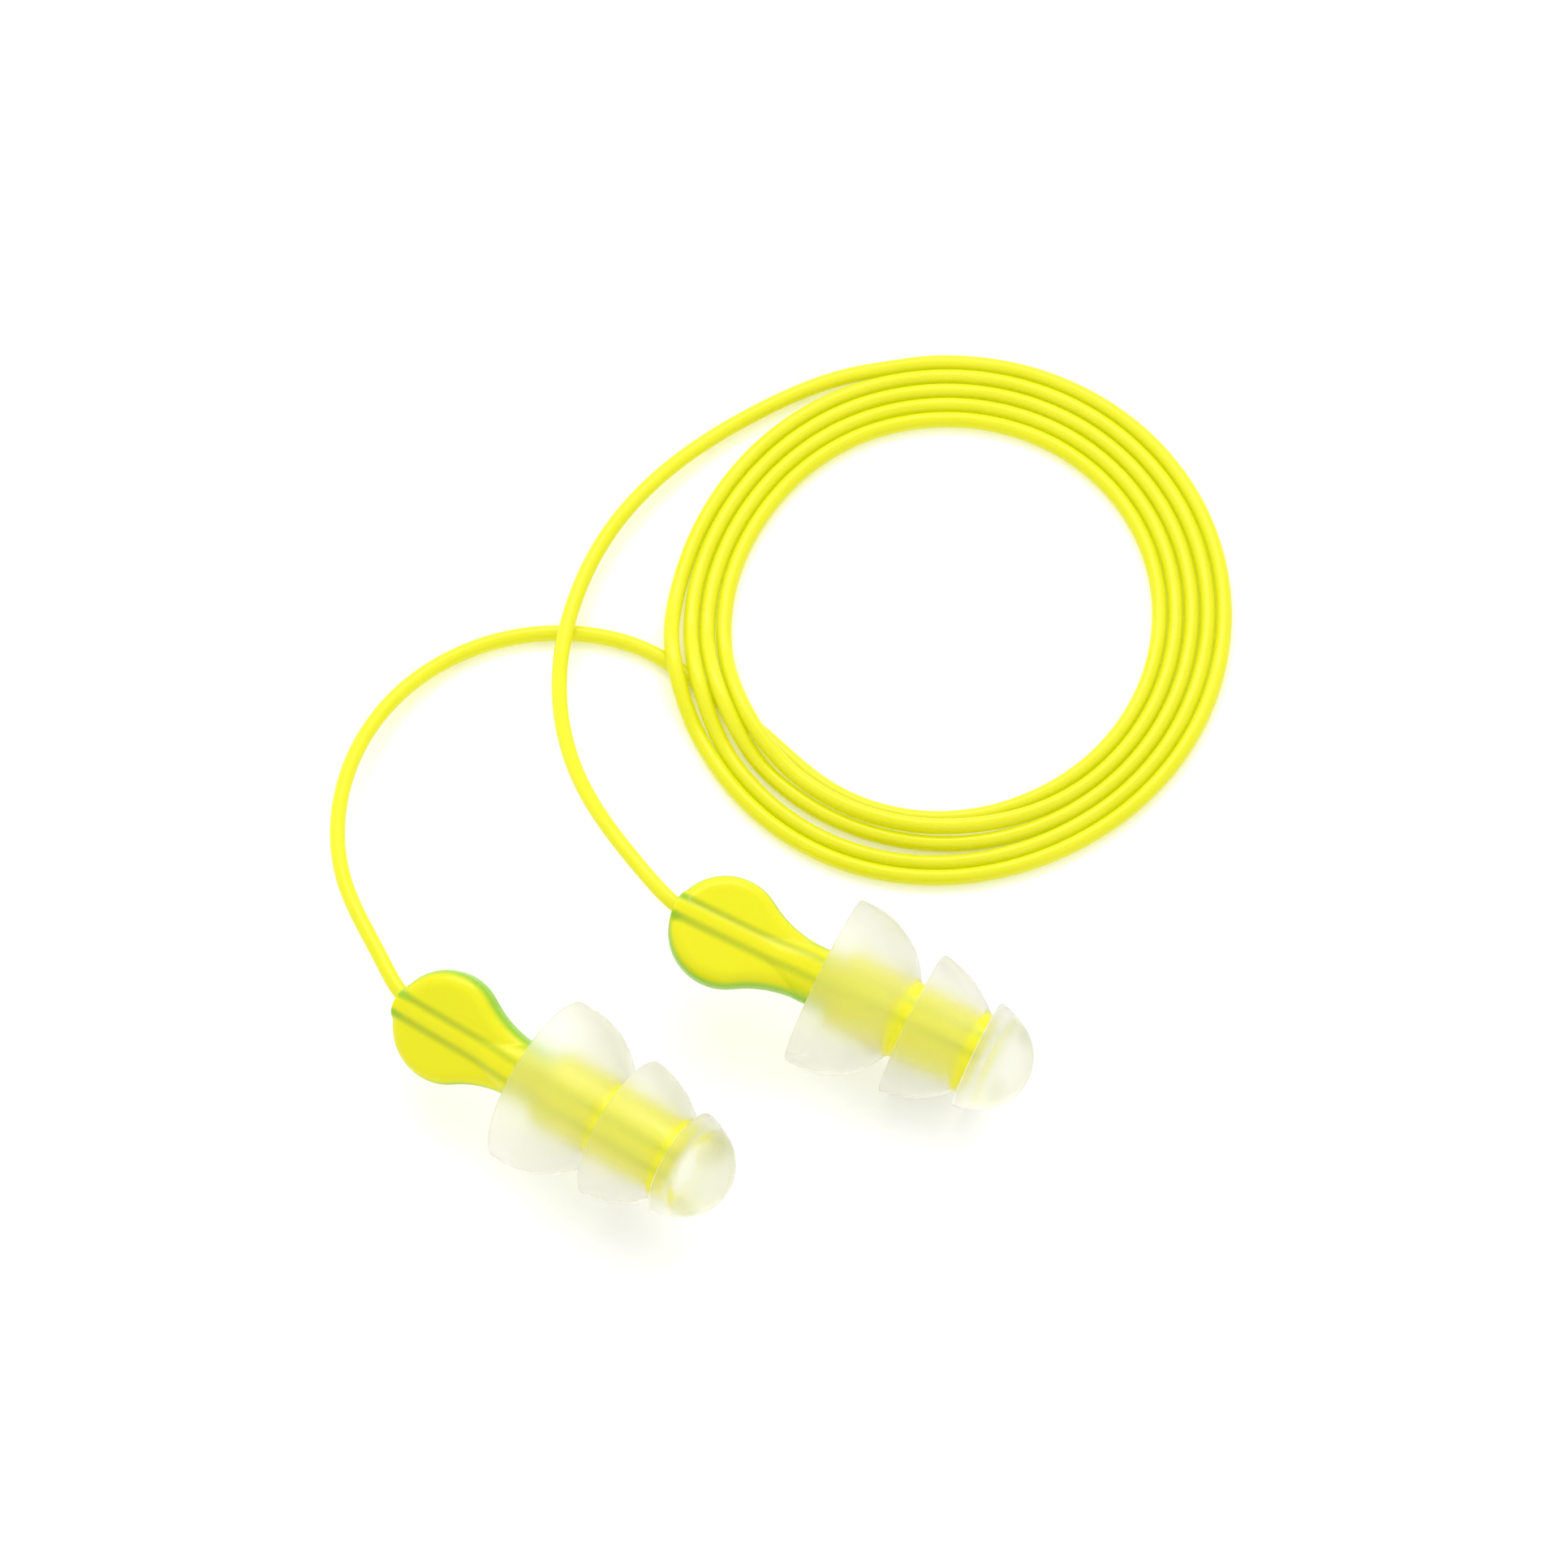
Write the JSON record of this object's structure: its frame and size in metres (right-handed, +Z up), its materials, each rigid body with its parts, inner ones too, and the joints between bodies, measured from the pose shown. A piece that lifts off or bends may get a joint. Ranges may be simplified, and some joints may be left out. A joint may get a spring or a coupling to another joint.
{
  "type": "corded ear plugs",
  "caption": "Pair of reusable three-flange ear plugs with paddle grips, joined by one coiled lime-yellow cord.",
  "frame": {"origin": "centre of the coil, on the table plane that the cord and the flanges rest on", "axes": "+Z up from the table along the coil's axis; +X across the coil, away from the tails; +Y away from the plugs"},
  "size_m": [0.066, 0.0742, 0.0132],
  "materials": {
    "cord": "glossy, slightly translucent lime-yellow soft PVC",
    "grip": "glossy translucent lime-yellow moulding, greener where it is thick",
    "tip": "frosted translucent off-white soft elastomer"
  },
  "bodies": {
    "coil": {"cord_coil": "cord"},
    "left_cord_1": {"left_cord_1": "cord"},
    "left_cord_2": {"left_cord_2": "cord"},
    "left_cord_3": {"left_cord_3": "cord"},
    "left_cord_4": {"left_cord_4": "cord"},
    "left_cord_5": {"left_cord_5": "cord"},
    "left_cord_6": {"left_cord_6": "cord"},
    "left_cord_7": {"left_cord_7": "cord"},
    "left_cord_end": {"left_cord_end": "cord"},
    "left_plug": {"left_grip": "grip", "left_tip": "tip"},
    "right_cord_1": {"right_cord_1": "cord"},
    "right_cord_2": {"right_cord_2": "cord"},
    "right_cord_3": {"right_cord_3": "cord"},
    "right_cord_4": {"right_cord_4": "cord"},
    "right_cord_5": {"right_cord_5": "cord"},
    "right_cord_6": {"right_cord_6": "cord"},
    "right_cord_7": {"right_cord_7": "cord"},
    "right_cord_end": {"right_cord_end": "cord"},
    "right_plug": {"right_grip": "grip", "right_tip": "tip"}
  },
  "joints": [
    {"name": "left_tail_swing", "type": "hinge", "parent": "coil", "child": "left_cord_1", "pos_m": [-0.0212, -0.0028, 0.00057], "axis": [0, 0, 1], "range_deg": [-12, 2], "stiffness_Nm_per_rad": 0.0002},
    {"name": "left_tail_swing_2", "type": "hinge", "parent": "left_cord_1", "child": "left_cord_2", "pos_m": [-0.0263, -0.0011, 0.00057], "axis": [0, 0, 1], "range_deg": [-12, 2], "stiffness_Nm_per_rad": 0.0002},
    {"name": "left_tail_lift", "type": "hinge", "parent": "left_cord_2", "child": "left_cord_3", "pos_m": [-0.0327, -0.0016, 0.0006], "axis": [-0.2869, 0.958, 0], "range_deg": [0, 14], "stiffness_Nm_per_rad": 0.0002},
    {"name": "left_tail_swing_3", "type": "hinge", "parent": "left_cord_3", "child": "left_cord_4", "pos_m": [-0.0383, -0.0047, 0.001], "axis": [0, 0, 1], "range_deg": [-12, 2], "stiffness_Nm_per_rad": 0.0002},
    {"name": "left_tail_lift_2", "type": "hinge", "parent": "left_cord_4", "child": "left_cord_5", "pos_m": [-0.0424, -0.0102, 0.00215], "axis": [-0.9011, 0.4336, 0], "range_deg": [0, 14], "stiffness_Nm_per_rad": 0.0002},
    {"name": "left_tail_swing_4", "type": "hinge", "parent": "left_cord_5", "child": "left_cord_6", "pos_m": [-0.0443, -0.0168, 0.0036], "axis": [0, 0, 1], "range_deg": [-12, 2], "stiffness_Nm_per_rad": 0.0002},
    {"name": "left_tail_lift_3", "type": "hinge", "parent": "left_cord_6", "child": "left_cord_7", "pos_m": [-0.044, -0.0236, 0.00495], "axis": [-0.974, -0.2264, 0], "range_deg": [0, 14], "stiffness_Nm_per_rad": 0.0002},
    {"name": "left_plug_tilt", "type": "hinge", "parent": "left_cord_7", "child": "left_cord_end", "pos_m": [-0.0409, -0.0315, 0.006], "axis": [-0.5635, -0.8261, 0], "range_deg": [0, 35], "stiffness_Nm_per_rad": 0.0002},
    {"name": "left_plug_turn", "type": "hinge", "parent": "left_cord_end", "child": "left_plug", "pos_m": [-0.03975, -0.03425, 0.0061], "axis": [0.8256, -0.5632, 0.0349], "range_deg": [-90, 90], "stiffness_Nm_per_rad": 0.00002},
    {"name": "right_tail_swing", "type": "hinge", "parent": "coil", "child": "right_cord_1", "pos_m": [-0.0065, 0.0206, 0.00057], "axis": [0, 0, 1], "range_deg": [-2, 3.5], "stiffness_Nm_per_rad": 0.0002},
    {"name": "right_tail_lift", "type": "hinge", "parent": "right_cord_1", "child": "right_cord_2", "pos_m": [-0.0137, 0.0174, 0.0007], "axis": [-0.5248, 0.8512, 0], "range_deg": [0, 14], "stiffness_Nm_per_rad": 0.0002},
    {"name": "right_tail_swing_2", "type": "hinge", "parent": "right_cord_2", "child": "right_cord_3", "pos_m": [-0.02, 0.0126, 0.0012], "axis": [0, 0, 1], "range_deg": [-2, 3.5], "stiffness_Nm_per_rad": 0.0002},
    {"name": "right_tail_lift_2", "type": "hinge", "parent": "right_cord_3", "child": "right_cord_4", "pos_m": [-0.0249, 0.0064, 0.0016], "axis": [-0.8685, 0.4956, 0], "range_deg": [0, 14], "stiffness_Nm_per_rad": 0.0002},
    {"name": "right_tail_swing_3", "type": "hinge", "parent": "right_cord_4", "child": "right_cord_5", "pos_m": [-0.0277, -0.001, 0.0019], "axis": [0, 0, 1], "range_deg": [-2, 3.5], "stiffness_Nm_per_rad": 0.0002},
    {"name": "right_tail_lift_3", "type": "hinge", "parent": "right_cord_5", "child": "right_cord_6", "pos_m": [-0.0282, -0.0088, 0.00365], "axis": [-0.9974, -0.0726, 0], "range_deg": [0, 14], "stiffness_Nm_per_rad": 0.0002},
    {"name": "right_tail_swing_4", "type": "hinge", "parent": "right_cord_6", "child": "right_cord_7", "pos_m": [-0.0266, -0.0164, 0.006], "axis": [0, 0, 1], "range_deg": [-2, 3.5], "stiffness_Nm_per_rad": 0.0002},
    {"name": "right_plug_tilt", "type": "hinge", "parent": "right_cord_7", "child": "right_cord_end", "pos_m": [-0.0217, -0.02525, 0.0081], "axis": [-0.4226, -0.9063, 0], "range_deg": [0, 35], "stiffness_Nm_per_rad": 0.0002},
    {"name": "right_plug_turn", "type": "hinge", "parent": "right_cord_end", "child": "right_plug", "pos_m": [-0.01985, -0.02775, 0.0081], "axis": [0.8977, -0.4186, -0.1376], "range_deg": [-90, 90], "stiffness_Nm_per_rad": 0.00002}
  ],
  "couplings": [
    {"joint": "left_tail_swing_2", "follows": "left_tail_swing", "ratio": 1},
    {"joint": "left_tail_swing_3", "follows": "left_tail_swing", "ratio": 1},
    {"joint": "left_tail_lift_2", "follows": "left_tail_lift", "ratio": 1},
    {"joint": "left_tail_swing_4", "follows": "left_tail_swing", "ratio": 1},
    {"joint": "left_tail_lift_3", "follows": "left_tail_lift", "ratio": 1},
    {"joint": "right_tail_swing_2", "follows": "right_tail_swing", "ratio": 1},
    {"joint": "right_tail_lift_2", "follows": "right_tail_lift", "ratio": 1},
    {"joint": "right_tail_swing_3", "follows": "right_tail_swing", "ratio": 1},
    {"joint": "right_tail_lift_3", "follows": "right_tail_lift", "ratio": 1},
    {"joint": "right_tail_swing_4", "follows": "right_tail_swing", "ratio": 1}
  ]
}
